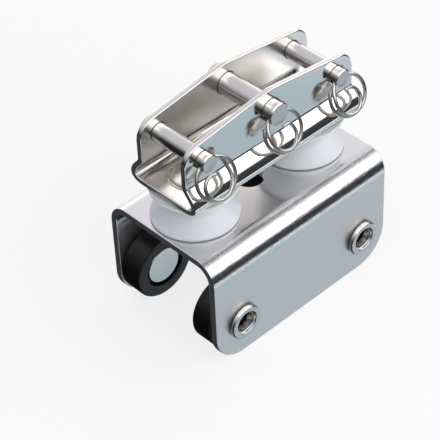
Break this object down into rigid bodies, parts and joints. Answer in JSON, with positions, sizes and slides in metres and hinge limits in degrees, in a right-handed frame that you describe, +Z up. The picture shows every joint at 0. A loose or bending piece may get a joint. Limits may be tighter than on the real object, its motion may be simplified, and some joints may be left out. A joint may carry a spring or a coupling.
{
  "type": "mainsheet traveller car",
  "caption": "Folded stainless car that rolls along a sailing track on wheels, with control line sheaves and a bracket with ringed clevis pins for mainsheet blocks.",
  "frame": {"origin": "midway between the four wheels, at the height of their axles", "axes": "+X along the rail to the front, +Y to the left across the rail, +Z up"},
  "size_m": [0.0624, 0.0412, 0.0658],
  "materials": {
    "polished_sheet": "polished stainless sheet",
    "turned_steel": "turned stainless bar",
    "ring_wire": "drawn stainless wire, tumbled",
    "black_acetal": "turned black acetal",
    "white_acetal": "turned white acetal"
  },
  "bodies": {
    "root": {"car_body": "polished_sheet", "toggle_bracket": "polished_sheet", "axle_bush_front_left": "turned_steel", "axle_bush_front_right": "turned_steel", "axle_bush_rear_left": "turned_steel", "axle_bush_rear_right": "turned_steel", "axle_rivet_front_left": "turned_steel", "axle_rivet_front_right": "turned_steel", "axle_rivet_rear_left": "turned_steel", "axle_rivet_rear_right": "turned_steel", "sheave_bush_front": "turned_steel", "sheave_bush_rear": "turned_steel", "sheave_rivet_front": "turned_steel", "sheave_rivet_rear": "turned_steel"},
    "wheel_front_left": {"wheel_front_left": "black_acetal"},
    "wheel_front_right": {"wheel_front_right": "black_acetal"},
    "wheel_rear_left": {"wheel_rear_left": "black_acetal"},
    "wheel_rear_right": {"wheel_rear_right": "black_acetal"},
    "sheave_front": {"sheave_front": "white_acetal"},
    "sheave_rear": {"sheave_rear": "white_acetal"},
    "clevis_pin_front": {"clevis_pin_front": "turned_steel"},
    "split_ring_front": {"split_ring_front": "ring_wire"},
    "clevis_pin_centre": {"clevis_pin_centre": "turned_steel"},
    "split_ring_centre": {"split_ring_centre": "ring_wire"},
    "clevis_pin_rear": {"clevis_pin_rear": "turned_steel"},
    "split_ring_rear": {"split_ring_rear": "ring_wire"}
  },
  "joints": [
    {"name": "wheel_spin_front_left", "type": "hinge", "parent": "root", "child": "wheel_front_left", "pos_m": [0.02175, 0.01325, 0], "axis": [0, 1, 0], "continuous": true},
    {"name": "wheel_spin_front_right", "type": "hinge", "parent": "root", "child": "wheel_front_right", "pos_m": [0.02175, -0.01325, 0], "axis": [0, 1, 0], "continuous": true},
    {"name": "wheel_spin_rear_left", "type": "hinge", "parent": "root", "child": "wheel_rear_left", "pos_m": [-0.02175, 0.01325, 0], "axis": [0, 1, 0], "continuous": true},
    {"name": "wheel_spin_rear_right", "type": "hinge", "parent": "root", "child": "wheel_rear_right", "pos_m": [-0.02175, -0.01325, 0], "axis": [0, 1, 0], "continuous": true},
    {"name": "sheave_spin_front", "type": "hinge", "parent": "root", "child": "sheave_front", "pos_m": [0.0189, 0, 0.0281], "axis": [0, 0, 1], "continuous": true},
    {"name": "sheave_spin_rear", "type": "hinge", "parent": "root", "child": "sheave_rear", "pos_m": [-0.0189, 0, 0.0281], "axis": [0, 0, 1], "continuous": true},
    {"name": "pin_turn_front", "type": "hinge", "parent": "root", "child": "clevis_pin_front", "pos_m": [0.0231, 0, 0.04725], "axis": [0, 1, 0], "continuous": true},
    {"name": "ring_swing_front", "type": "hinge", "parent": "clevis_pin_front", "child": "split_ring_front", "pos_m": [0.0231, -0.00987, 0.04725], "axis": [-0.9511, 0, -0.309], "range_deg": [0, 135]},
    {"name": "pin_turn_centre", "type": "hinge", "parent": "root", "child": "clevis_pin_centre", "pos_m": [0, 0, 0.04925], "axis": [0, 1, 0], "continuous": true},
    {"name": "ring_swing_centre", "type": "hinge", "parent": "clevis_pin_centre", "child": "split_ring_centre", "pos_m": [0, -0.01011, 0.04925], "axis": [-0.9511, 0, -0.309], "range_deg": [0, 135]},
    {"name": "pin_turn_rear", "type": "hinge", "parent": "root", "child": "clevis_pin_rear", "pos_m": [-0.0231, 0, 0.04725], "axis": [0, 1, 0], "continuous": true},
    {"name": "ring_swing_rear", "type": "hinge", "parent": "clevis_pin_rear", "child": "split_ring_rear", "pos_m": [-0.0231, -0.00987, 0.04725], "axis": [-0.9511, 0, -0.309], "range_deg": [0, 135]}
  ]
}
